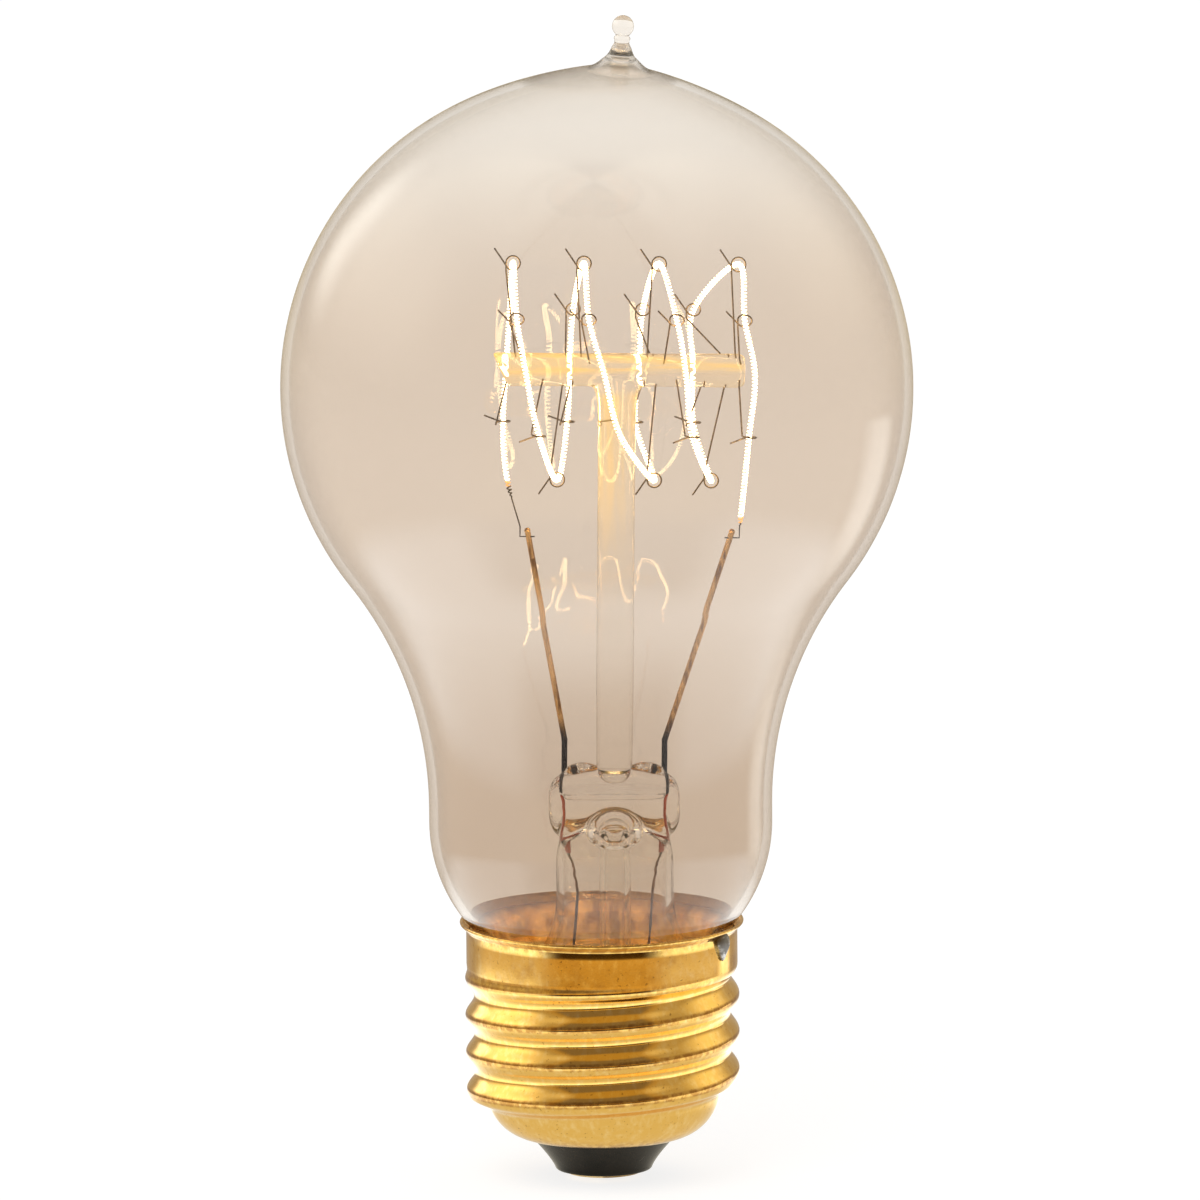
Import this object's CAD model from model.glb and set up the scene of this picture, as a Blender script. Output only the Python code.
import math
import bpy
from mathutils import Matrix, Quaternion, Vector


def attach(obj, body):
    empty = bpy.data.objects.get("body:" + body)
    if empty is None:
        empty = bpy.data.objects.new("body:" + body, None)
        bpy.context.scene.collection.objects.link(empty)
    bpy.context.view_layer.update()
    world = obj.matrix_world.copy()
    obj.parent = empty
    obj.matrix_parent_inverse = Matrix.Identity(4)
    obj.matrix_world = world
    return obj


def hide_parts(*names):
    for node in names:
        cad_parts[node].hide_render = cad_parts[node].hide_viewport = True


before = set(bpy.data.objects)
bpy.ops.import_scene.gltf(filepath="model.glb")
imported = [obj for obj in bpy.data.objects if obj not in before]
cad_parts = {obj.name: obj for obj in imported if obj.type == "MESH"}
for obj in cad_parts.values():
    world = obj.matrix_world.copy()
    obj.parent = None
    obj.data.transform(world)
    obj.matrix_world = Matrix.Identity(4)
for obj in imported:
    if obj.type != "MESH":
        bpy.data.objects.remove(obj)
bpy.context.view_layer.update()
mm = 0.001


# hand tools: what a piece is picked, shaped and finished with
def putDown():
    if bpy.context.mode != "OBJECT":
        bpy.ops.object.mode_set(mode="OBJECT")
    bpy.ops.object.select_all(action="DESELECT")


def pickOnly(piece):
    putDown()
    piece.select_set(True)
    bpy.context.view_layer.objects.active = piece


def settle():
    # the picked piece's place, turn and size go into its mesh
    bpy.ops.object.transform_apply(location=True, rotation=True, scale=True)


def turned(name, outline, steps):
    # one point is pulled along the outline, and the line is spun round the lamp's axis
    putDown()
    bpy.ops.mesh.primitive_plane_add(size=mm, location=(0, 0, 0))
    piece = bpy.context.object
    piece.name = name
    bpy.ops.object.mode_set(mode="EDIT")
    bpy.ops.mesh.merge(type="CENTER")
    points = [Vector((r * mm, 0, z * mm)) for r, z in outline]
    bpy.ops.transform.translate(value=points[0])
    for here, there in zip(points, points[1:]):
        bpy.ops.mesh.extrude_region_move(TRANSFORM_OT_translate={"value": there - here})
    bpy.ops.mesh.select_all(action="SELECT")
    bpy.ops.mesh.spin(steps=steps, angle=2 * math.pi, center=(0, 0, 0), axis=(0, 0, 1))
    closeUp()
    return piece


def closeUp(gap=0.002):
    # seams and poles are merged, and the faces turned outwards
    bpy.ops.mesh.select_all(action="SELECT")
    bpy.ops.mesh.remove_doubles(threshold=gap * mm)
    bpy.ops.mesh.normals_make_consistent(inside=False)
    bpy.ops.object.mode_set(mode="OBJECT")
    bpy.ops.object.shade_smooth()


def drawnUp(name, sections, sides):
    # a ring is extruded up through the sections (z, half width, half depth, squareness)
    putDown()
    sections = [(*section, 2.0)[:4] for section in sections]
    z, wide, deep, square = sections[0]
    bpy.ops.mesh.primitive_circle_add(vertices=sides, radius=mm, fill_type="NGON", location=(0, 0, z * mm))
    piece = bpy.context.object
    piece.name = name
    bpy.ops.object.mode_set(mode="EDIT")
    bpy.ops.mesh.select_all(action="SELECT")
    bpy.ops.transform.resize(value=(wide, deep, 1), center_override=(0, 0, z * mm))
    for (z0, wide0, deep0, square0), (z1, wide1, deep1, square1) in zip(sections, sections[1:]):
        bpy.ops.mesh.extrude_region_move(TRANSFORM_OT_translate={"value": (0, 0, (z1 - z0) * mm)})
        bpy.ops.transform.resize(value=(wide1 / wide0, deep1 / deep0, 1), center_override=(0, 0, z1 * mm))
    closeUp()
    settle()
    for vertex in piece.data.vertices:  # rings that are squarer than an ellipse
        z, wide, deep, square = min(sections, key=lambda section: abs(section[0] * mm - vertex.co.z))
        if square != 2.0:
            turn = math.atan2(vertex.co.y / deep, vertex.co.x / wide)
            vertex.co.x = wide * mm * math.copysign(abs(math.cos(turn)) ** (2 / square), math.cos(turn))
            vertex.co.y = deep * mm * math.copysign(abs(math.sin(turn)) ** (2 / square), math.sin(turn))
    return piece


def finishWith(piece, kind, **settings):
    modifier = piece.modifiers.new(kind.title(), kind)
    for key, value in settings.items():
        setattr(modifier, key, value)
    pickOnly(piece)
    bpy.ops.object.modifier_apply(modifier=modifier.name)


def workInto(piece, tool, operation):
    # the tool piece is fused to the piece, or cut from it, and used up
    finishWith(piece, "BOOLEAN", object=tool, operation=operation, solver="EXACT")
    bpy.data.objects.remove(tool)


def roundStick(name, radius, start, end, sides=48):
    putDown()
    a, b = Vector(start) * mm, Vector(end) * mm
    turn = (b - a).to_track_quat("Z", "Y").to_euler()
    bpy.ops.mesh.primitive_cylinder_add(
        vertices=sides, radius=radius * mm, depth=(b - a).length, location=(a + b) / 2, rotation=turn)
    stick = bpy.context.object
    stick.name = name
    settle()
    return stick


def roundBall(name, center, size, sides=48):
    putDown()
    bpy.ops.mesh.primitive_uv_sphere_add(
        segments=sides, ring_count=sides // 2, radius=mm, location=Vector(center) * mm, scale=size)
    ball = bpy.context.object
    ball.name = name
    settle()
    return ball


def placeBy(piece, place):
    pickOnly(piece)
    piece.matrix_world = place @ piece.matrix_world
    settle()


def fitPiece(piece, material, slotName, *nodes):
    piece.data.materials.clear()
    piece.data.materials.append(material)
    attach(piece, "root")
    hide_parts(*nodes)


def moved(x, y, z):
    return Matrix.Translation((x * mm, y * mm, z * mm))


def turnedBy(degrees, axis):
    return Matrix.Rotation(math.radians(degrees), 4, axis)


# places of the stem, the mount and the crossbar, as the solids have them
stemX, stemTilt, weldHeight, barHeight = 1.3, 0.9, 37.2, 77.8
stemPlace = moved(stemX, 0, 0)
headPlace = moved(stemX, 0, weldHeight) @ turnedBy(stemTilt, "Y") @ moved(0, 0, -weldHeight)
barPlace = headPlace @ moved(0, 0, barHeight)


# shader parts that several finishes share
def startGroup(name, inputs, outputs):
    group = bpy.data.node_groups.new(name, "ShaderNodeTree")
    for label, kind, value in inputs:
        socket = group.interface.new_socket(name=label, in_out="INPUT", socket_type="NodeSocket" + kind)
        socket.default_value = value
    for label, kind in outputs:
        group.interface.new_socket(name=label, in_out="OUTPUT", socket_type="NodeSocket" + kind)
    return group, group.nodes.new("NodeGroupInput"), group.nodes.new("NodeGroupOutput")


def objectPlace(tree):
    return add(tree, "TexCoord").outputs["Object"]


def add(tree, kind, **settings):
    node = tree.nodes.new("ShaderNode" + kind)
    for key, value in settings.items():
        setattr(node, key, value)
    return node


def feed(tree, value, socket):
    if isinstance(value, bpy.types.NodeSocket):
        tree.links.new(value, socket)
    else:
        socket.default_value = value


def math2(tree, operation, a, b):
    node = add(tree, "Math", operation=operation)
    feed(tree, a, node.inputs[0])
    feed(tree, b, node.inputs[1])
    return node.outputs[0]


def times(tree, a, b):
    return math2(tree, "MULTIPLY", a, b)


def most(tree, a, b):
    return math2(tree, "MAXIMUM", a, b)


def span(tree, value, low, high, toLow=0.0, toHigh=1.0, soft=True):
    node = add(tree, "MapRange", interpolation_type="SMOOTHSTEP" if soft else "LINEAR")
    for socket, given in zip(node.inputs[:5], (value, low, high, toLow, toHigh)):
        feed(tree, given, socket)
    return node.outputs[0]


def blend(tree, share, first, second):
    # mixes two colours, each of them a socket or its red, green and blue
    node = add(tree, "Mix", data_type="RGBA")
    feed(tree, share, node.inputs[0])
    for color, socket in ((first, node.inputs[6]), (second, node.inputs[7])):
        feed(tree, color if isinstance(color, bpy.types.NodeSocket) else (*color, 1), socket)
    return node.outputs[2]


def noise(tree, place, scale, detail=4.0, roughness=0.55):
    node = add(tree, "TexNoise")
    tree.links.new(place, node.inputs["Vector"])
    feed(tree, scale, node.inputs["Scale"])
    node.inputs["Detail"].default_value = detail
    node.inputs["Roughness"].default_value = roughness
    return node.outputs["Fac"]


def bumped(tree, height, distance, strength=1.0):
    node = add(tree, "Bump")
    node.inputs["Strength"].default_value = strength
    node.inputs["Distance"].default_value = distance
    tree.links.new(height, node.inputs["Height"])
    return node.outputs["Normal"]


def makeTarnish():
    # stains with soft edges, small dark specks, and the height they stand at
    group, into, out = startGroup(
        "Tarnish",
        [("Stain Size", "Float", 300.0), ("Cover", "Float", 0.4), ("Speck Size", "Float", 2500.0),
         ("Spread", "Float", 1.0), ("Softness", "Float", 0.16)],
        [("Stain", "Float"), ("Specks", "Float"), ("Height", "Float")])
    place = objectPlace(group)
    upright = add(group, "CombineXYZ")
    for axis in (0, 1):
        upright.inputs[axis].default_value = 1
    group.links.new(into.outputs["Spread"], upright.inputs[2])
    drawn = add(group, "VectorMath", operation="MULTIPLY")
    group.links.new(place, drawn.inputs[0])
    group.links.new(upright.outputs[0], drawn.inputs[1])
    broad = noise(group, drawn.outputs[0], into.outputs["Stain Size"], 6, 0.62)
    edge = math2(group, "SUBTRACT", 0.75, times(group, into.outputs["Cover"], 0.45))
    stain = span(group, broad, math2(group, "SUBTRACT", edge, into.outputs["Softness"]), edge)
    fine = noise(group, place, into.outputs["Speck Size"], 3, 0.5)
    specks = span(group, fine, 0.62, 0.72)
    specks = times(group, specks, span(group, broad, 0.42, 0.6))
    height = math2(group, "SUBTRACT", times(group, fine, 0.35), times(group, specks, 0.4))
    group.links.new(stain, out.inputs["Stain"])
    group.links.new(specks, out.inputs["Specks"])
    group.links.new(height, out.inputs["Height"])
    return group


def makeGlassWaves():
    # slow waves and fine draw lines of glass worked in the flame
    group, into, out = startGroup(
        "GlassWaves",
        [("Wave Size", "Float", 40.0), ("Line Size", "Float", 900.0), ("Lines", "Float", 0.2)],
        [("Height", "Float"), ("Haze", "Float")])
    place = objectPlace(group)
    waves = noise(group, place, into.outputs["Wave Size"], 2, 0.4)
    stretch = add(group, "Mapping")
    group.links.new(place, stretch.inputs["Vector"])
    stretch.inputs["Scale"].default_value = (1, 1, 0.06)
    lines = noise(group, stretch.outputs["Vector"], into.outputs["Line Size"], 2, 0.5)
    height = math2(group, "ADD", waves, times(group, lines, into.outputs["Lines"]))
    group.links.new(height, out.inputs["Height"])
    group.links.new(span(group, waves, 0.35, 0.7), out.inputs["Haze"])
    return group


def makeDrawnWire():
    # streaks and small scars of wire pulled through a die
    group, into, out = startGroup(
        "DrawnWire", [("Size", "Float", 3000.0)], [("Streak", "Float"), ("Height", "Float")])
    place = objectPlace(group)
    stretch = add(group, "Mapping")
    group.links.new(place, stretch.inputs["Vector"])
    stretch.inputs["Scale"].default_value = (1, 1, 0.15)
    streak = noise(group, stretch.outputs["Vector"], into.outputs["Size"], 4, 0.6)
    group.links.new(span(group, streak, 0.35, 0.7), out.inputs["Streak"])
    group.links.new(streak, out.inputs["Height"])
    return group


def makeBearing():
    # how far a direction or a place lies to the front (1 in front, -1 behind), its turn, reach and height
    group, into, out = startGroup("Bearing", [("Place", "Vector", (0, 0, 0))], [
        ("Front", "Float"), ("Turn", "Float"), ("Reach", "Float"), ("Height", "Float")])
    parts = add(group, "SeparateXYZ")
    group.links.new(into.outputs["Place"], parts.inputs[0])
    x, y, z = parts.outputs
    near = times(group, y, -1.0)
    squares = math2(group, "ADD", times(group, x, x), times(group, y, y))
    flat = math2(group, "SQRT", squares, 0.0)
    group.links.new(math2(group, "DIVIDE", near, flat), out.inputs["Front"])
    group.links.new(math2(group, "ARCTAN2", x, near), out.inputs["Turn"])
    group.links.new(flat, out.inputs["Reach"])
    group.links.new(z, out.inputs["Height"])
    return group


tarnish = makeTarnish()
bearing = makeBearing()
glassWaves = makeGlassWaves()
drawnWire = makeDrawnWire()


def give(tree, node, **values):
    # each value is set on the input of that name, or linked to it
    for label, value in values.items():
        feed(tree, value, node.inputs[label.replace("_", " ")])


def useGroup(tree, group, **values):
    node = add(tree, "Group", node_tree=group)
    give(tree, node, **values)
    return node.outputs


def surfaceMix(tree, share, first, second, output):
    mixed = add(tree, "MixShader")
    for value, socket in zip((share, first, second), mixed.inputs):
        tree.links.new(value, socket)
    tree.links.new(mixed.outputs[0], output.inputs["Surface"])


def heightSpan(tree, z, ends, toLow=0.0, toHigh=1.0):
    # like span, between two heights in mm
    return span(tree, z, ends[0] * mm, ends[1] * mm, toLow, toHigh)


def startMaterial(name):
    material = bpy.data.materials.new(name)
    material.use_nodes = True
    tree = material.node_tree
    return material, tree, tree.nodes["Principled BSDF"], tree.nodes["Material Output"]


def makeGlass(name, look):
    # clear glass that is tinted more deeply where it is seen edge on; lamps light what is inside it
    material, tree, shader, output = startMaterial(name)
    facing = add(tree, "LayerWeight")
    facing.inputs["Blend"].default_value = look["edgeWidth"]
    shade = span(tree, facing.outputs["Facing"], look["edgeFrom"], 1.0)
    place = objectPlace(tree)
    z = useGroup(tree, bearing, Place=place)["Height"]
    tint = look["clear"]
    if "heights" in look:  # the metal bloom inside is deepest in the neck, and thins out to the tip
        tint = blend(tree, heightSpan(tree, z, look["heights"][:2]), look["neck"], tint)
        tint = blend(tree, heightSpan(tree, z, look["heights"][2:]), tint, look["crown"])
    if "caught" in look:
        tint = catchLight(tree, look, shader, place, z)
    if "goldFrom" in look:  # low down the glass shows the cement and brass that lie against it
        gilt = heightSpan(tree, z, look["goldFrom"])
        tint = blend(tree, gilt, tint, look["gold"])
        glints = span(tree, noise(tree, place, look["glintSize"], 5, 0.6), 0.36, 0.66, 0.25, 1.5)
        give(tree, shader, Specular_Tint=blend(tree, gilt, (1, 1, 1), look["goldShine"]),
             Emission_Color=(*look["goldShine"], 1),
             Emission_Strength=times(tree, times(tree, gilt, glints), look["goldGlow"]))
    edge = look["edge"]
    if "meltedFrom" in look:
        melted = heightSpan(tree, z, look["meltedFrom"])
        edge = blend(tree, melted, edge, look["meltedEdge"])
        tint = blend(tree, melted, tint, look["melted"])
    tint = blend(tree, shade, tint, edge)
    waves = useGroup(tree, glassWaves, Wave_Size=look["waveSize"], Line_Size=look["lineSize"],
                     Lines=look["lines"])
    rough = span(tree, waves["Haze"], 0, 1, look["roughness"], look["roughness"] * 2.5)
    if "meltedFrom" in look:
        horn = times(tree, melted, heightSpan(tree, z, look["hornTop"]))
        rough = math2(tree, "ADD", rough, times(tree, horn, look["meltedRoughness"]))
    give(tree, shader, Base_Color=tint, Roughness=rough, Transmission_Weight=1, IOR=look["ior"],
         Normal=bumped(tree, waves["Height"], look["waveDepth"] * mm))
    passing = add(tree, "BsdfTransparent")
    passing.inputs["Color"].default_value = (*look["clear"], 1)
    shadowRay = add(tree, "LightPath").outputs["Is Shadow Ray"]
    surfaceMix(tree, shadowRay, shader.outputs[0], passing.outputs[0], output)
    return material


def catchLight(tree, look, shader, place, z):
    # the hot strand's light is caught in streaks along the bar, and fades down the rod
    streaks = []
    for stretch in ((0.1, 1, 1), (1, 1, 0.08)):
        mapping = add(tree, "Mapping")
        mapping.inputs["Scale"].default_value = stretch
        tree.links.new(place, mapping.inputs["Vector"])
        streaks.append(span(tree, noise(tree, mapping.outputs["Vector"], look["streakSize"], 3), 0.4, 0.66))
    inBar = heightSpan(tree, z, look["barFrom"])
    upper = heightSpan(tree, z, look["barUpper"], 0.3, 1.2)
    change = times(tree, math2(tree, "SUBTRACT", streaks[0], streaks[1]), inBar)
    streak = math2(tree, "ADD", streaks[1], change)
    share = times(tree, heightSpan(tree, z, look["caughtFrom"], 0.0, 0.75),
                  span(tree, inBar, 0.0, 1.0, 0.93, upper, soft=False))
    share = times(tree, share, math2(tree, "ADD", times(tree, streak, 0.75), 0.25))
    give(tree, shader, Emission_Strength=times(tree, share, look["caught"]),
         Emission_Color=(*look["caughtColor"], 1))
    return blend(tree, share, look["clear"], look["amber"])


def makeMetal(name, look):
    # metal or paste under stains and specks
    material, tree, shader, output = startMaterial(name)
    marks = useGroup(tree, tarnish, Stain_Size=look["stainSize"], Cover=look["cover"],
                     Speck_Size=look["speckSize"], Spread=look.get("spread", 1.0),
                     Softness=look.get("softness", 0.16))
    color = blend(tree, marks["Stain"], look["bright"], look["stain"])
    if "dustFrom" in look:
        height = useGroup(tree, bearing, Place=objectPlace(tree))["Height"]
        color = blend(tree, heightSpan(tree, height, look["dustFrom"]), color, look["dust"])
    rough = span(tree, marks["Stain"], 0, 1, look["roughness"], look["stainRoughness"])
    if "crest" in look:
        color = rollThread(tree, look, color)
    color = blend(tree, times(tree, marks["Specks"], look["specks"]), color, look["speck"])
    give(tree, shader, Base_Color=color, Roughness=rough, Metallic=look["metallic"],
         Specular_IOR_Level=look.get("shine", 0.5),
         Normal=bumped(tree, marks["Height"], look["bump"] * mm))
    return material


def rollThread(tree, look, color):
    # brown patina runs along the crests, under the rim, into the roots and round the bottom edge
    place = objectPlace(tree)
    way = useGroup(tree, bearing, Place=place)
    z, across = way["Height"], way["Reach"]
    broken = span(tree, noise(tree, place, look["patinaSize"], 5, 0.65), 0.36, 0.6)
    threaded = heightSpan(tree, z, look["plainFrom"], 1.0, 0.0)
    crest = times(tree, heightSpan(tree, across, look["crest"]), threaded)
    crest = times(tree, crest, math2(tree, "ADD", times(tree, broken, 0.6), 0.35))
    underRim = times(tree, heightSpan(tree, z, look["underRim"]), 0.6)
    neckFrom, neckTo = look["neckLine"][:2], look["neckLine"][2:]
    neckLine = times(tree, heightSpan(tree, z, neckTo), heightSpan(tree, z, neckFrom))
    patina = most(tree, underRim, times(tree, neckLine, 0.5))
    patina = most(tree, patina, heightSpan(tree, z, look["lowEdge"]))
    patina = most(tree, times(tree, patina, broken), crest)
    clouds = span(tree, noise(tree, place, look["cloudSize"], 5, 0.6), 0.46, 0.7, 0.0, 0.5)
    patina = most(tree, patina, times(tree, clouds, heightSpan(tree, z, look["cloudsFrom"])))
    return blend(tree, times(tree, patina, look["patina"]), color, look["patinaColor"])


def makeWire(name, look):
    # drawn wire that changes colour with height, where the flame has blackened it
    material, tree, shader, output = startMaterial(name)
    marks = useGroup(tree, drawnWire, Size=look["size"])
    color = blend(tree, marks["Streak"], look["bright"], look["dull"])
    if "blackFrom" in look:
        z = useGroup(tree, bearing, Place=objectPlace(tree))["Height"]
        burnt = heightSpan(tree, z, look["blackFrom"])
        color = blend(tree, burnt, color, look["black"])
    rough = span(tree, marks["Streak"], 0, 1, look["roughness"], look["roughness"] + 0.2)
    give(tree, shader, Base_Color=color, Roughness=rough, Metallic=look["metallic"],
         Normal=bumped(tree, marks["Height"], look["bump"] * mm))
    return material


envelopeLook = {
    "neck": (0.735, 0.64, 0.548), "clear": (0.835, 0.757, 0.68), "crown": (0.94, 0.91, 0.865),
    "heights": (34, 62, 84, 104), "edge": (0.42, 0.31, 0.2), "edgeWidth": 0.3, "edgeFrom": 0.33,
    "goldFrom": (24.4, 23.6), "gold": (0.95, 0.7, 0.22), "goldShine": (1.0, 0.66, 0.24), "goldGlow": 0.16,
    "glintSize": 420.0, "meltedFrom": (105.2, 105.9), "melted": (0.93, 0.87, 0.79),
    "meltedEdge": (0.2, 0.12, 0.06), "hornTop": (109.0, 108.4), "meltedRoughness": 0.24, "ior": 1.47,
    "roughness": 0.0, "waveSize": 30, "waveDepth": 0.006, "lineSize": 300, "lines": 0.05}
stemLook = {
    "clear": (0.975, 0.97, 0.955), "edge": (0.3, 0.22, 0.14), "edgeWidth": 0.3, "edgeFrom": 0.35,
    "ior": 1.52, "roughness": 0.01, "waveSize": 160, "waveDepth": 0.05, "lineSize": 1200, "lines": 0.1}
mountLook = {
    "clear": (0.97, 0.955, 0.925), "edge": (0.36, 0.27, 0.16), "edgeWidth": 0.4, "edgeFrom": 0.25,
    "ior": 1.5, "roughness": 0.01, "waveSize": 220, "waveDepth": 0.04, "lineSize": 1600, "lines": 0.2,
    "barFrom": (75.3, 76.2), "barUpper": (77.1, 78.3), "caught": 0.5, "caughtColor": (1.0, 0.64, 0.12),
    "amber": (0.82, 0.55, 0.15), "caughtFrom": (54, 76), "streakSize": 900}
shellLook = {
    "bright": (0.96, 0.72, 0.33), "stain": (0.84, 0.53, 0.14), "stainSize": 1500, "cover": 0.4, "spread": 0.6,
    "softness": 0.45, "speckSize": 3800, "speck": (0.16, 0.08, 0.02), "specks": 0.6, "roughness": 0.05,
    "stainRoughness": 0.1, "bump": 0.004, "crest": (12.92, 13.02), "plainFrom": (19.6, 20.8),
    "underRim": (23.4, 24.1), "neckLine": (19.3, 20.1, 20.9, 20.3), "lowEdge": (5.4, 4.1),
    "patina": 0.9, "patinaColor": (0.36, 0.16, 0.035), "patinaSize": 1500, "cloudSize": 260,
    "cloudsFrom": (19.4, 20.4), "metallic": 1.0}
eyeletLook = {
    "bright": (0.78, 0.6, 0.34), "stain": (0.4, 0.27, 0.13), "stainSize": 400, "cover": 0.4,
    "speckSize": 3000, "speck": (0.15, 0.1, 0.05), "specks": 0.6, "roughness": 0.25,
    "stainRoughness": 0.45, "bump": 0.02, "metallic": 1.0}
solderLook = {
    "bright": (0.5, 0.49, 0.48), "stain": (0.22, 0.21, 0.2), "stainSize": 900, "cover": 0.5,
    "speckSize": 3500, "speck": (0.07, 0.065, 0.06), "specks": 0.6, "roughness": 0.36,
    "stainRoughness": 0.6, "bump": 0.08, "metallic": 1.0}
cementLook = {
    "bright": (1.0, 0.68, 0.2), "stain": (0.66, 0.34, 0.05), "stainSize": 520, "cover": 0.5, "softness": 0.25,
    "speckSize": 2500, "speck": (0.3, 0.15, 0.04), "specks": 0.7, "roughness": 0.35, "stainRoughness": 0.55,
    "bump": 0.12, "metallic": 0.6}
plugLook = {
    "bright": (0.006, 0.005, 0.004), "stain": (0.016, 0.013, 0.01), "stainSize": 300, "cover": 0.5,
    "speckSize": 1800, "speck": (0.05, 0.042, 0.034), "specks": 0.4, "roughness": 0.12,
    "stainRoughness": 0.22, "bump": 0.03, "metallic": 0.0, "shine": 0.15, "dustFrom": (4.9, 5.7),
    "dust": (0.62, 0.34, 0.1)}
leadLook = {
    "bright": (0.80, 0.50, 0.2), "dull": (0.26, 0.13, 0.05), "black": (0.03, 0.03, 0.035),
    "blackFrom": (45.5, 42.3), "size": 2200, "roughness": 0.24, "bump": 0.03, "metallic": 1.0}
sealLook = {
    "bright": (0.8, 0.1, 0.03), "dull": (0.55, 0.05, 0.015), "size": 2600, "roughness": 0.35, "bump": 0.01,
    "metallic": 0.2}
outerLook = {
    "bright": (0.32, 0.2, 0.13), "dull": (0.12, 0.075, 0.05), "size": 2600, "roughness": 0.3, "bump": 0.01,
    "metallic": 1.0}
supportLook = {
    "bright": (0.22, 0.17, 0.12), "dull": (0.09, 0.07, 0.05), "size": 3600, "roughness": 0.35, "bump": 0.01,
    "metallic": 0.9}

envelopeGlass = makeGlass("warmEnvelopeGlass", envelopeLook)
stemGlass = makeGlass("flameworkedStemGlass", stemLook)
mountGlass = makeGlass("drawnMountGlass", mountLook)
shellBrass = makeMetal("rolledShellBrass", shellLook)
eyeletBrass = makeMetal("contactBrass", eyeletLook)
leadSolder = makeMetal("leadSolder", solderLook)
baseCement = makeMetal("baseCement", cementLook)
blackGlass = makeMetal("blackPlugGlass", plugLook)
leadWire = makeWire("leadWireCopper", leadLook)
sealWire = makeWire("redSealWire", sealLook)
outerWire = makeWire("outerLeadCopper", outerLook)
supportWire = makeWire("supportWireSteel", supportLook)

coilLook = {
    "cold": (0.09, 0.075, 0.06), "oxide": (0.16, 0.14, 0.12), "size": 3000.0, "bump": 0.01, "metallic": 0.9}
coilHeats = {  # colour and strength of the light from each length of the strand
    "whiteHotCoil": ((1.0, 0.74, 0.4), 12.0), "orangeHotEnd": ((1.0, 0.42, 0.10), 1.6),
    "bareLeg": ((1.0, 0.3, 0.05), 0.0)}


def makeCoilMaterial(name, glowColor, strength):
    material, tree, shader, output = startMaterial(name)
    marks = useGroup(tree, drawnWire, Size=coilLook["size"])
    streak = marks["Streak"]
    give(tree, shader, Base_Color=blend(tree, streak, coilLook["cold"], coilLook["oxide"]),
         Emission_Color=(*glowColor, 1), Emission_Strength=strength, Metallic=coilLook["metallic"],
         Roughness=span(tree, streak, 0, 1, 0.3, 0.5),
         Normal=bumped(tree, marks["Height"], coilLook["bump"] * mm))
    return material


coilMaterials = [makeCoilMaterial(name, *given) for name, given in coilHeats.items()]
print("finishes made")

# blown globe, neck and seal, with the melted tip drawn out of the top
bulb = {
    "globeRadius": 29.97, "globeHeight": 76.1, "wall": 0.8, "neckRadius": 16.3, "flankRadius": 36.0,
    "shoulderRadius": 15.0, "rimRadius": 12.88, "rimHeight": 24.9, "skirtRadius": 11.4, "skirtBottom": 19.2,
    "sealTop": 20.0, "sealHole": 6.0, "steps": 144}
tip = {  # half widths at heights above the globe, from the bead's underside down, and the hollow below
    "tilt": 4.6, "full": 12.0, "fade": 55.0, "beadRadius": 1.04, "beadRise": 4.7, "neck": 0.64,
    "horn": ((0.64, 3.8), (0.74, 3.66), (0.79, 3.54), (0.76, 3.42), (0.70, 3.3), (0.71, 3.1), (0.80, 2.9),
             (0.93, 2.67), (1.03, 2.4), (1.16, 2.1), (1.4, 1.78), (1.71, 1.5), (2.1, 1.14), (2.5, 0.84)),
    "spreadFrom": 3.0, "spreadTo": 16.0, "lift": 0.75, "liftFade": 6.0,
    "hollow": ((3.0, -0.2), (2.6, 0.02), (2.2, 0.32), (1.8, 0.7), (1.5, 1.02), (1.25, 1.26), (1.08, 1.33),
               (0.96, 1.2)),
    "stub": ((0.9, 0.8), (0.88, 0.0), (0.9, -0.95), (0.8, -1.15), (0.55, -1.27), (0.25, -1.3), (0, -1.3))}


def easing(t):
    t = min(1.0, max(0.0, t))
    return t * t * (3 - 2 * t)


def arc(centerR, centerZ, radius, start, end, count):
    turns = [start + (end - start) * i / count for i in range(count + 1)]
    return [(centerR + radius * math.cos(math.radians(a)), centerZ + radius * math.sin(math.radians(a)))
            for a in turns]


def bulbWall(inset, top, bottom):
    shoulderX = bulb["neckRadius"] - bulb["shoulderRadius"]
    rimX = bulb["rimRadius"] - shoulderX
    shoulderZ = bulb["rimHeight"] + math.sqrt(bulb["shoulderRadius"] ** 2 - rimX ** 2)
    flankX = bulb["neckRadius"] + bulb["flankRadius"]
    flankZ = bulb["globeHeight"] - math.sqrt((bulb["globeRadius"] + bulb["flankRadius"]) ** 2 - flankX ** 2)
    join = math.degrees(math.atan2(flankZ - bulb["globeHeight"], flankX))
    skirtTurn = math.degrees(math.acos(
        (bulb["skirtRadius"] - inset - shoulderX) / (bulb["shoulderRadius"] - inset)))
    return (arc(0, bulb["globeHeight"], bulb["globeRadius"] - inset, top, join, 60)
            + arc(flankX, flankZ, bulb["flankRadius"] + inset, 180 + join, 180, 30)[1:]
            + arc(shoulderX, shoulderZ, bulb["shoulderRadius"] - inset, 0, -skirtTurn, 20)
            + [(bulb["skirtRadius"] - inset, bottom)])


def fallOf(r, inset=0.0):
    return bulb["globeRadius"] - math.sqrt((bulb["globeRadius"] - inset) ** 2 - r ** 2)


def lifted(r):
    # how far the melted seal has pulled the globe's wall up, beside the horn
    out = (r - tip["spreadFrom"]) / (tip["spreadTo"] - tip["spreadFrom"])
    return tip["lift"] * math.exp((tip["spreadFrom"] - r) / tip["liftFade"]) * (1 - out ** 2) ** 2


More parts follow.
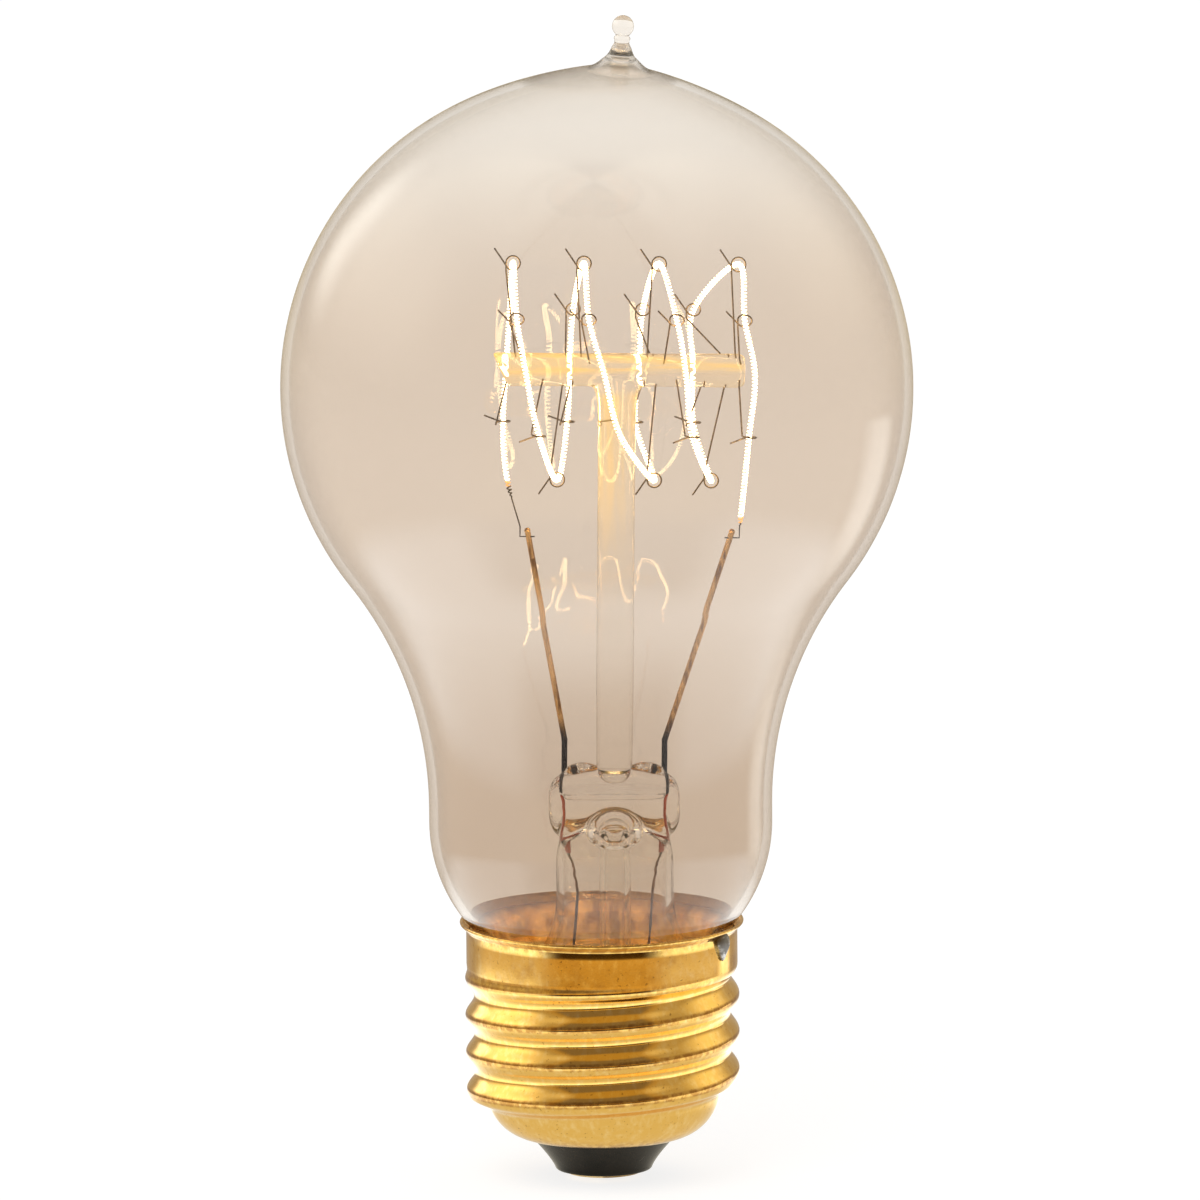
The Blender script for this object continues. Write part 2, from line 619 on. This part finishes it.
top = bulb["globeHeight"] + bulb["globeRadius"]
spread = [tip["spreadFrom"] + (tip["spreadTo"] - tip["spreadFrom"]) * (i / 22) ** 1.3 for i in range(23)]
neck = math.degrees(math.acos(tip["neck"] / tip["beadRadius"]))
hornOutside = ([(r, z) for r, z in arc(0, top + tip["beadRise"], tip["beadRadius"], 90, -neck, 16)]
               + [(r, top + rise) for r, rise in tip["horn"]]
               + [(r, top - fallOf(r) + lifted(r)) for r in spread])
hornInside = ([(r, top - fallOf(r, bulb["wall"]) + lifted(r)) for r in spread[:0:-1]]
              + [(r, top + rise) for r, rise in tip["hollow"] + tip["stub"]])
edge = math.degrees(math.acos(tip["spreadTo"] / bulb["globeRadius"]))
outside = hornOutside + bulbWall(0, edge - 1.5, bulb["skirtBottom"])
inside = bulbWall(bulb["wall"], edge - 1.5, bulb["sealTop"])[::-1] + hornInside
bulbGlass = turned("bulbGlass", outside + [(bulb["sealHole"], bulb["skirtBottom"]),
                                           (bulb["sealHole"], bulb["sealTop"])] + inside, bulb["steps"])
globeCenter = Vector((0, 0, bulb["globeHeight"] * mm))
for vertex in bulbGlass.data.vertices:  # the top of the globe leans with the tip, and stays round
    arm = vertex.co - globeCenter
    polar = math.degrees(math.atan2(math.hypot(arm.x, arm.y), arm.z))
    lean = math.radians(tip["tilt"]) * easing((tip["fade"] - polar) / (tip["fade"] - tip["full"]))
    vertex.co = globeCenter + Matrix.Rotation(lean, 3, "Y") @ arm
fitPiece(bulbGlass, envelopeGlass, "envelope_glass", "glass_envelope", "exhaust_tip")
print("globe blown and tipped")

# rolled brass shell: turned plain, then the thread is pressed in row by row
shell = {
    "crest": 13.05, "depth": 0.85, "pitch": 3.629, "crestHeight": 14.0, "threadBottom": 6.9,
    "threadTop": 20.8, "fade": 1.6, "startFade": 1.2, "startRise": 1.2, "collar": 12.9, "cap": 11.4,
    "capTop": 9.5, "capHeight": 5.4, "hole": 7.1, "wall": 0.3, "rim": 13.5, "rimHeight": 24.9, "flare": 0.9,
    "rows": 96, "steps": 144}


def capAt(z):
    low = max(0.0, shell["capTop"] - z) / shell["capHeight"]
    return shell["hole"] + (shell["cap"] - shell["hole"]) * math.sqrt(1 - low ** 2)


def threadRadius(z, angle):
    wave = 0.5 + 0.5 * math.cos(2 * math.pi * (z - shell["crestHeight"]) / shell["pitch"] - angle)
    threaded = shell["crest"] - shell["depth"] * (1 - wave)
    up = easing((z - shell["threadTop"] + shell["fade"]) / shell["fade"])
    start = shell["threadBottom"] + shell["startRise"] * (1 + math.cos(angle)) / 2
    down = easing((start + shell["startFade"] - z) / shell["startFade"])
    return threaded * (1 - up) * (1 - down) + shell["collar"] * up + capAt(z) * down


def shellSide(inset):
    lowest = math.degrees(math.asin((shell["capTop"] - shell["threadBottom"]) / shell["capHeight"]))
    capTurns = [90 - (90 - lowest) * i / 10 for i in range(10)]
    capIn = [(shell["hole"] + (shell["cap"] - shell["hole"] - inset) * math.cos(math.radians(a)),
              shell["capTop"] - (shell["capHeight"] - inset) * math.sin(math.radians(a))) for a in capTurns]
    run = shell["threadTop"] - shell["threadBottom"]
    thread = [(shell["cap"] - inset, shell["threadBottom"] + run * i / shell["rows"])
              for i in range(shell["rows"] + 1)]
    flareFrom = shell["rimHeight"] - shell["flare"]
    upper = [(shell["collar"] - inset, flareFrom - 2), (shell["collar"] - inset, flareFrom - 0.7)]
    upper += [(shell["collar"] + (shell["rim"] - shell["collar"]) * easing(t / 8) - inset,
               flareFrom + (shell["flare"] - 0.15) * t / 8) for t in range(9)]
    return capIn + thread + upper


lip = arc(shell["rim"] - shell["wall"] / 2, shell["rimHeight"] - 0.15, shell["wall"] / 2, 20, 160, 7)
threadShell = turned("threadShell", shellSide(0) + lip + shellSide(shell["wall"])[::-1]
                     + [(shell["hole"], shell["capTop"] - shell["capHeight"])], shell["steps"])
for vertex in threadShell.data.vertices:
    z, r = vertex.co.z / mm, math.hypot(vertex.co.x, vertex.co.y) / mm
    if shell["threadBottom"] - 1e-4 <= z <= shell["threadTop"] + 1e-4:
        inset = shell["wall"] if r < shell["cap"] - shell["wall"] / 2 else 0.0
        grown = (threadRadius(z, math.atan2(vertex.co.y, vertex.co.x)) - inset) / r
        vertex.co.x *= grown
        vertex.co.y *= grown
fitPiece(threadShell, shellBrass, "shell_brass", "screw_shell")
print("shell rolled")

# black glass plug, dished from the shell down to the contact
plug = {"face": 4.6, "faceHeight": 0.8, "edge": 7.0, "edgeHeight": 4.1, "bore": 1.85, "boreTop": 3.45,
        "inside": (4.6, 6.3), "fill": 3.9, "fillTop": 9.5, "fillDepth": 5.0, "fillEnd": 31.3,
        "bend": 1.25, "steps": 96}
taper = [(plug["face"] - 0.25, plug["faceHeight"]), (plug["face"] - 0.08, plug["faceHeight"] + 0.04)]
taper += [(plug["face"] + (plug["edge"] - plug["face"]) * (i / 14) ** plug["bend"],
           plug["faceHeight"] + 0.12 + (plug["edgeHeight"] - plug["faceHeight"] - 0.12) * i / 14)
          for i in range(15)]
fillTurns = [math.radians(90 + (plug["fillEnd"] - 90) * i / 8) for i in range(9)]
fill = [(plug["edge"] + plug["fill"] * math.cos(a), plug["fillTop"] - plug["fillDepth"] * math.sin(a))
        for a in fillTurns]
blackPlug = turned("blackPlug", [(plug["bore"], plug["boreTop"]), (plug["bore"], plug["faceHeight"])] + taper
                   + fill + [plug["inside"], (plug["bore"], plug["boreTop"])], plug["steps"])
fitPiece(blackPlug, blackGlass, "insulator_glass", "base_insulator")
print("plug pressed")

# solder at the rim: a ball pulled long, wide at the rim and run out to a point on the collar
solder = {
    "angle": -28.6, "out": 13.0, "height": 23.35, "size": (0.62, 0.8, 1.42), "widen": 0.3, "ripple": 0.09,
    "lean": 0.08}
sideDrop = roundBall("sideDrop", (0, 0, 0), solder["size"], 40)
for vertex in sideDrop.data.vertices:
    x, y, z = (c / mm for c in vertex.co)
    width = 1 + solder["widen"] * z
    ripple = 1 + solder["ripple"] * math.sin(4.1 * z + 1.3) * math.cos(2.7 * y)
    lean = 1 + solder["lean"] * math.sin(3.3 * z + 0.6)
    vertex.co = Vector((x * width * ripple, y * width * lean, z)) * mm
placeBy(sideDrop, turnedBy(solder["angle"], "Z") @ moved(solder["out"], 0, solder["height"]))
pickOnly(sideDrop)
bpy.ops.object.shade_smooth()
fitPiece(sideDrop, leadSolder, "solder", "side_solder")
print("rim soldered")

# stem: flared foot, tube, and the press with its ears, humps, port and exhaust tube, fused in the flame
stem = {
    "wall": 0.7, "earX": 4.95, "ear": (1.3, 1.5, 2.35), "earZ": (35.3, 36.7), "humpX": 3.0, "humpZ": 38.85,
    "hump": (2.1, 1.65, 1.35), "portZ": 34.1, "portY": -2.8, "ring": (2.1, 0.5), "squash": 0.8, "port": 1.5,
    "exhaust": 1.5, "bore": 0.95, "tubeEnds": (13.0, 34.0), "boreEnds": (13.6, 33.7), "portDepth": 2.2,
    "portTurn": 68, "voxel": 0.16}
footArc = [(20.02, 8.7), (20.6, 8.3), (21.3, 7.6), (22.2, 6.95), (23.2, 6.4), (24.4, 6.0), (25.8, 5.7),
           (27.5, 5.6)]
outer = [(z, r, r) for z, r in footArc] + [
    (29.4, 5.6, 5.6), (30.3, 5.6, 5.4), (31.2, 5.55, 4.85), (32.0, 5.4, 4.2, 2.3), (32.8, 5.25, 3.5, 2.8),
    (33.6, 5.15, 2.85, 3.3), (34.4, 5.1, 2.4, 3.8), (35.3, 5.1, 2.15, 4.0), (36.3, 5.1, 2.05, 4.0),
    (36.9, 5.1, 2.05, 4.0), (37.05, 5.1, 2.15, 4.0), (37.2, 5.1, 2.42, 4.0), (37.6, 5.1, 2.5, 3.8),
    (38.2, 5.08, 2.4, 3.6), (38.8, 5.0, 2.1, 3.4), (39.2, 4.85, 1.7, 3.0), (39.5, 4.5, 1.15, 2.6),
    (39.65, 4.0, 0.6, 2.3)]
inner = [(z - 0.2, r - stem["wall"], r - stem["wall"]) for z, r in footArc] + [
    (29.4, 4.9, 4.9), (30.3, 4.88, 4.6), (31.2, 4.8, 3.95), (32.0, 4.6, 3.1), (32.7, 4.25, 2.2),
    (33.3, 3.6, 1.4), (33.7, 2.8, 0.8)]
stemPiece = drawnUp("stemGlass", outer, 72)
for side in (-1, 1):
    for z in stem["earZ"]:
        workInto(stemPiece, roundBall("ear", (side * stem["earX"], 0, z), stem["ear"]), "UNION")
    workInto(stemPiece, roundBall("hump", (side * stem["humpX"], 0, stem["humpZ"]), stem["hump"]), "UNION")
putDown()
bpy.ops.mesh.primitive_torus_add(major_radius=stem["ring"][0] * mm, minor_radius=stem["ring"][1] * mm,
                                 major_segments=48, minor_segments=20)
portRing = bpy.context.object
portPlace = (moved(0, stem["portY"], stem["portZ"]) @ turnedBy(stem["portTurn"], "X")
             @ Matrix.Diagonal((1, stem["squash"], 1, 1)))
placeBy(portRing, portPlace)
workInto(stemPiece, portRing, "UNION")
workInto(stemPiece, drawnUp("hollow", inner, 72), "DIFFERENCE")
for part, ends, operation in (("exhaust", "tubeEnds", "UNION"), ("bore", "boreEnds", "DIFFERENCE")):
    bottom, top = stem[ends]
    workInto(stemPiece, roundStick(part, stem[part], (0, 0, bottom), (0, 0, top)), operation)
port = roundStick("port", stem["port"], (0, 0, -stem["portDepth"]), (0, 0, stem["portDepth"]))
placeBy(port, portPlace)
workInto(stemPiece, port, "DIFFERENCE")
finishWith(stemPiece, "REMESH", mode="VOXEL", voxel_size=stem["voxel"] * mm, use_smooth_shade=True)
finishWith(stemPiece, "SMOOTH", factor=0.5, iterations=6)
placeBy(stemPiece, stemPlace)
fitPiece(stemPiece, stemGlass, "stem_glass", "stem_flare", "stem_press", "exhaust_tube")
print("stem pressed", len(stemPiece.data.polygons))

# mount: the upright rod with a spread foot, and the crossbar melted on to it
mount = {"bar": 1.6, "left": -11.8, "slant": 26.0, "cut": 8.0, "voxel": 0.15}
rodLine = [(z, r, r) for z, r in (
    (38.1, 0.7), (38.2, 1.15), (38.4, 1.42), (38.8, 1.6), (39.4, 1.72), (50, 1.8), (62, 1.78), (72, 1.8))]
rodLine += [(75.0, 1.9, 1.86), (76.4, 2.3, 1.7), (77.4, 2.7, 1.3)]
mountPiece = drawnUp("mountGlass", rodLine, 48)
barPiece = drawnUp("bar", [(z, r, r) for z, r in (
    (-11.8, 1.55), (-11.3, 1.62), (-8, 1.6), (-3, 1.58), (0, 1.62), (4, 1.58), (8, 1.6), (11.4, 1.63),
    (11.9, 1.5), (12.1, 1.2))], 48)
placeBy(barPiece, moved(0, 0, barHeight) @ turnedBy(90, "Y"))
putDown()
bpy.ops.mesh.primitive_cube_add(size=mount["cut"] * mm, location=(0, 0, 0))
cutter = bpy.context.object
placeBy(cutter, moved(mount["left"], 0, barHeight + mount["bar"]) @ turnedBy(-mount["slant"], "Y")
        @ moved(-mount["cut"] / 2, 0, 0))
workInto(barPiece, cutter, "DIFFERENCE")
workInto(mountPiece, barPiece, "UNION")
finishWith(mountPiece, "REMESH", mode="VOXEL", voxel_size=mount["voxel"] * mm, use_smooth_shade=True)
finishWith(mountPiece, "SMOOTH", factor=0.5, iterations=8)
placeBy(mountPiece, headPlace)
fitPiece(mountPiece, mountGlass, "mount_glass", "mount_rod", "crossbar")
print("mount melted together", len(mountPiece.data.polygons))

# filament: a fine coil wound along the strand, with a bare leg at each end
strand = {
    "topX": (-9.9, -3.2, 3.9, 11.4), "bottomX": (-5.6, 3.6, 9.0), "firstX": -10.4, "lastX": 12.1,
    "frontHighX": (-9.5, -2.7, 5.6, 12.0), "backHighX": (-10.2, -4.2, 2.4, 7.2),
    "frontMidX": (-8.6, -1.2, 6.5, 13.0), "backMidX": (-10.5, -4.5, 2.1, 7.2),
    "frontLowX": (-7.4, 0.3, 7.1, 12.5), "backLowX": (-10.8, -4.7, 1.8, 7.3),
    "top": 10.2, "bottom": 10.6, "high": 5.3, "low": 5.7, "out": 3.2, "legZ": -16.0, "legY": -0.375,
    "leadX": (-8.4, 11.0), "reach": 0.7, "rise": 0.9, "coilRadius": 0.2, "wire": 0.07, "pitch": 0.34,
    "pointsPerTurn": 10, "coldLeft": 3.6, "coldRight": 0.2}


def strandPath():
    s = strand
    points = [(s["leadX"][0] - s["reach"], 0, s["legZ"] + s["rise"]),
              (s["firstX"], s["out"] / 2, -s["bottom"])]
    for i in range(4):
        points += [
            (s["backLowX"][i], s["out"], -s["low"]),
            (s["backMidX"][i], s["out"], 0),
            (s["backHighX"][i], s["out"], s["high"]),
            (s["topX"][i], 0, s["top"]),
            (s["frontHighX"][i], -s["out"], s["high"]),
            (s["frontMidX"][i], -s["out"], 0),
            (s["frontLowX"][i], -s["out"], -s["low"])]
        if i < 3:
            points.append((s["bottomX"][i], 0, -s["bottom"]))
    points += [(s["lastX"], -0.6 * s["out"], -s["bottom"]),
               (s["leadX"][1] + s["reach"], -0.2 * s["out"], s["legZ"] + s["rise"])]
    return [Vector(p) for p in points]


def smoothAlong(points, steps):
    made = []
    for i in range(len(points) - 1):
        a, b = points[max(0, i - 1)], points[i]
        c, d = points[i + 1], points[min(len(points) - 1, i + 2)]
        for k in range(steps):
            t = k / steps
            made.append(0.5 * (2 * b + (c - a) * t + (2 * a - 5 * b + 4 * c - d) * t * t
                               + (3 * b - 3 * c + d - a) * t ** 3))
    return made + [points[-1]]


def evenly(points, step):
    made, left = [points[0]], step
    for a, b in zip(points, points[1:]):
        length = (b - a).length
        while left <= length:
            made.append(a.lerp(b, left / length))
            left += step
        left -= length
    return made


def wireCurve(name, points, radius, rounding=1):
    putDown()
    data = bpy.data.curves.new(name, "CURVE")
    data.dimensions = "3D"
    data.bevel_depth = radius * mm
    data.bevel_resolution = rounding
    data.use_fill_caps = True
    line = data.splines.new("POLY")
    line.points.add(len(points) - 1)
    for spot, point in zip(line.points, points):
        spot.co = (*(Vector(point) * mm), 1)
    wire = bpy.data.objects.new(name, data)
    bpy.context.scene.collection.objects.link(wire)
    pickOnly(wire)
    bpy.ops.object.convert(target="MESH")
    bpy.ops.object.shade_smooth()
    return bpy.context.object


step = strand["pitch"] / strand["pointsPerTurn"]
line = evenly(smoothAlong(strandPath(), 24), step)
legs = [Vector((x + way * strand["reach"], strand["legY"], strand["legZ"]))
        for x in strand["leadX"] for way in (1, -1)]
coil, heats = [], []
side = Vector((0, 1, 0))
for i, point in enumerate(line):
    ahead = (line[min(i + 1, len(line) - 1)] - line[max(i - 1, 0)]).normalized()
    side = (side - ahead * side.dot(ahead)).normalized()
    turn = 2 * math.pi * i / strand["pointsPerTurn"]
    fromStart, fromEnd = i * step, (len(line) - 1 - i) * step
    opened = easing((fromStart - strand["coldLeft"] + 1) / 1.2) * easing(fromEnd / 1.2)
    outward = side * math.cos(turn) + ahead.cross(side) * math.sin(turn)
    coil.append(point + strand["coilRadius"] * opened * outward)
    heats.append(min(easing((fromStart - strand["coldLeft"]) / 2),
                     easing((fromEnd - strand["coldRight"]) / 2)))
glowWire = wireCurve("glowWire", legs[:2] + coil + legs[2:], strand["wire"])
placeBy(glowWire, barPlace)
fitPiece(glowWire, coilMaterials[0], "filament_wire", "filament")
for material in coilMaterials[1:]:
    glowWire.data.materials.append(material)
corners = len(glowWire.data.polygons) // (len(coil) + 3)
for face in glowWire.data.polygons:
    warmth = heats[min(len(heats) - 1, max(0, face.index // corners - 2))]
    face.material_index = 0 if warmth > 0.5 else 1 if warmth > 0.1 else 2
print("filament wound", len(glowWire.data.polygons), corners)

# the solids that stay get their finishes
finishes = (
    (("center_eyelet",), eyeletBrass, "eyelet_brass"), (("center_solder",), leadSolder, "solder"),
    (("base_cement",), baseCement, "cement"), (("lead_",), leadWire, "lead_wire"),
    (("seal_wire_",), sealWire, "seal_wire"), (("center_lead", "side_lead"), outerWire, "outer_lead"),
    (("support_", "guide_"), supportWire, "support_wire"))
for name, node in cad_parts.items():
    for starts, material, slotName in finishes:
        if name.startswith(starts):
            node.data.materials.clear()
            node.data.materials.append(material)
print("solids finished")


# studio: pale floor, white surroundings, soft lamps and the camera
def window(tree, turn, height, before, color, turns, heights, soft, tallSoft):
    # a soft-edged patch of the surroundings between two turns and two heights
    share = times(tree, span(tree, turn, turns[0] - soft, turns[0] + soft),
                  span(tree, turn, turns[1] + soft, turns[1] - soft))
    tall = times(tree, span(tree, height, heights[0] - tallSoft, heights[0] + tallSoft),
                 span(tree, height, heights[1] + tallSoft, heights[1] - tallSoft))
    return blend(tree, times(tree, share, tall), before, color)


studio = {
    "floorSize": 8.0, "floorColor": (0.85, 0.85, 0.85), "floorGlow": 0.8, "floorCatch": 0.3,
    "ambient": (0.62, 0.61, 0.6), "room": (0.56, 0.46, 0.3)}
mirroredFloor = {  # what metal and glass mirror of the floor, by distance and by how far to the front it lies
    "near": (0.86, 0.8, 0.66), "side": (1.8, 1.85, 1.85), "sideFrom": (0.018, 0.036),
    "far": (0.75, 0.6, 0.42), "farFrom": (0.085, 0.13),
    "dark": (0.07, 0.038, 0.01), "front": (0.8, 0.52, 0.17), "frontFrom": (0.09, 0.135),
    "darkFrom": (0.035, 0.06), "darkTurn": (0.5, 0.86),
    "back": (0.5, 0.42, 0.33), "backFrom": (0.045, 0.1), "backTurn": (-0.3, -0.75), "roomFrom": (0.2, 0.8)}
mirroredRoom = {  # and of the room, by height and by how far to the front it lies
    "overhead": (1.4, 1.25, 0.95), "overheadFrom": (0.7, 0.95), "back": (0.5, 0.42, 0.3),
    "backFrom": (-0.6, -0.92), "front": (0.55, 0.36, 0.1), "frontFrom": (0.5, 0.8),
    "dark": (0.008, 0.004, 0.001), "deepDark": (0.26, 0.2, 0.14), "darkTurn": (0.66, 0.8),
    "darkBelow": (0.84, 0.77)}
windows = {  # colour, turns, heights or distances, and how soft the edges are
    "leftBox": ((1.9, 1.75, 1.4), (-2.3, -1.25), (0.2, 0.7), 0.3, 0.22),
    "rightBox": ((1.3, 1.15, 0.8), (1.6, 2.3), (0.2, 0.7), 0.3, 0.22),
    "streak": ((2.6, 2.5, 2.2), (-2.54, -2.26), (0.12, 0.5), 0.13, 0.12),
    "floorStreak": ((2.0, 1.9, 1.7), (2.0, 2.3), (0.1, 0.4), 0.1, 0.04)}
lamps = {  # the glass mirrors the soft windows of the room, and not the lamps themselves
    "leftStrip": {"place": (-1.0, 0.95, 0.35), "size": (0.16, 0.9), "radiance": 5.0},
    "rightBox": {"place": (1.3, 0.1, 0.45), "size": (0.3, 0.5), "radiance": 3.0},
    "frontFill": {"place": (-0.4, -0.9, 1.3), "size": (0.9, 0.9), "radiance": 2.4}}
view = {"distance": 1.9, "elevation": 10.0, "aim": (0.00012, 0.0, 0.0557), "across": 0.1138, "roll": -0.52}

putDown()
bpy.ops.mesh.primitive_plane_add(size=studio["floorSize"], location=(0, 0, 0))
floor = bpy.context.object
floor.name = "floor"
floorMaterial, tree, shader, output = startMaterial("paleFloor")
give(tree, shader, Base_Color=(*studio["floorColor"], 1), Roughness=0.9)
path = add(tree, "LightPath")
seen = most(tree, path.outputs["Is Camera Ray"],
            most(tree, path.outputs["Is Glossy Ray"], path.outputs["Is Transmission Ray"]))
glow = add(tree, "Emission")
way = useGroup(tree, bearing, Place=objectPlace(tree))
front, turn, reach = way["Front"], way["Turn"], way["Reach"]
at = mirroredFloor
mirrored = blend(tree, span(tree, reach, *at["sideFrom"]), at["near"], at["side"])
mirrored = blend(tree, span(tree, reach, *at["farFrom"]), mirrored, at["far"])
inFront = blend(tree, span(tree, reach, *at["frontFrom"]), at["dark"], at["front"])
toFront = times(tree, span(tree, front, *at["darkTurn"]), span(tree, reach, *at["darkFrom"]))
mirrored = blend(tree, toFront, mirrored, inFront)
toBack = times(tree, span(tree, front, *at["backTurn"]), span(tree, reach, *at["backFrom"]))
mirrored = blend(tree, toBack, mirrored, at["back"])
mirrored = window(tree, turn, reach, mirrored, *windows["floorStreak"])
mirrored = blend(tree, span(tree, reach, *at["roomFrom"]), mirrored, studio["room"])
mirroredOnly = math2(tree, "SUBTRACT", path.outputs["Is Glossy Ray"], path.outputs["Is Transmission Ray"])
tree.links.new(blend(tree, mirroredOnly, [studio["floorGlow"]] * 3, mirrored), glow.inputs["Color"])
catch = add(tree, "BsdfDiffuse")
caught = blend(tree, mirroredOnly, [studio["floorCatch"]] * 3, (0, 0, 0))
tree.links.new(caught, catch.inputs["Color"])
both = add(tree, "AddShader")
tree.links.new(glow.outputs[0], both.inputs[0])
tree.links.new(catch.outputs[0], both.inputs[1])
surfaceMix(tree, seen, shader.outputs[0], both.outputs[0], output)
floorMaterial.cycles.emission_sampling = "NONE"
floor.data.materials.append(floorMaterial)

world = bpy.data.worlds.new("whiteRoom")
bpy.context.scene.world = world
world.use_nodes = True
tree = world.node_tree
backgroundNode = tree.nodes["Background"]
path = add(tree, "LightPath")
way = useGroup(tree, bearing, Place=add(tree, "TexCoord").outputs["Generated"])
front, turn, height = way["Front"], way["Turn"], way["Height"]
at = mirroredRoom
mirrored = blend(tree, span(tree, height, *at["overheadFrom"]), studio["room"], at["overhead"])
for pane in ("leftBox", "rightBox"):
    mirrored = window(tree, turn, height, mirrored, *windows[pane])
mirrored = blend(tree, span(tree, front, *at["backFrom"]), mirrored, at["back"])
mirrored = window(tree, turn, height, mirrored, *windows["streak"])
mirrored = blend(tree, span(tree, front, *at["frontFrom"]), mirrored, at["front"])
unlit = times(tree, span(tree, front, *at["darkTurn"]), span(tree, height, *at["darkBelow"]))
first = math2(tree, "LESS_THAN", path.outputs["Ray Depth"], 1.5)
shadow = blend(tree, first, at["deepDark"], at["dark"])
mirrored = blend(tree, unlit, mirrored, shadow)
direct = most(tree, path.outputs["Is Camera Ray"], path.outputs["Is Transmission Ray"])
shown = blend(tree, path.outputs["Is Glossy Ray"], studio["ambient"], mirrored)
shown = blend(tree, direct, shown, (1, 1, 1))
tree.links.new(shown, backgroundNode.inputs["Color"])
world.cycles.sampling_method = "NONE"

for name, lamp in lamps.items():
    data = bpy.data.lights.new(name, "AREA")
    data.shape = "RECTANGLE"
    data.size, data.size_y = lamp["size"]
    data.energy = lamp["radiance"] * math.pi * lamp["size"][0] * lamp["size"][1]
    light = bpy.data.objects.new(name, data)
    bpy.context.scene.collection.objects.link(light)
    light.location = lamp["place"]
    light.visible_glossy = light.visible_transmission = False
    toBulb = Vector((0, 0, 0.06)) - Vector(lamp["place"])
    light.rotation_euler = toBulb.to_track_quat("-Z", "Y").to_euler()

tilt = math.radians(view["elevation"])
back = Vector((0, -math.cos(tilt), math.sin(tilt)))
cameraData = bpy.data.cameras.new("camera")
cameraData.sensor_width = 36
cameraData.lens = 36 * view["distance"] / view["across"]
cameraData.clip_start, cameraData.clip_end = 0.05, 20
camera = bpy.data.objects.new("camera", cameraData)
bpy.context.scene.collection.objects.link(camera)
camera.location = Vector(view["aim"]) + back * view["distance"]
camera.rotation_mode = "QUATERNION"
roll = Quaternion((0, 0, 1), math.radians(view["roll"]))
camera.rotation_quaternion = (-back).to_track_quat("-Z", "Y") @ roll
bpy.context.scene.camera = camera
scene = bpy.context.scene
scene.view_settings.view_transform = "Standard"
scene.cycles.max_bounces = 24
scene.cycles.transmission_bounces = 20
scene.cycles.glossy_bounces = 8
scene.cycles.transparent_max_bounces = 24
print("studio set")
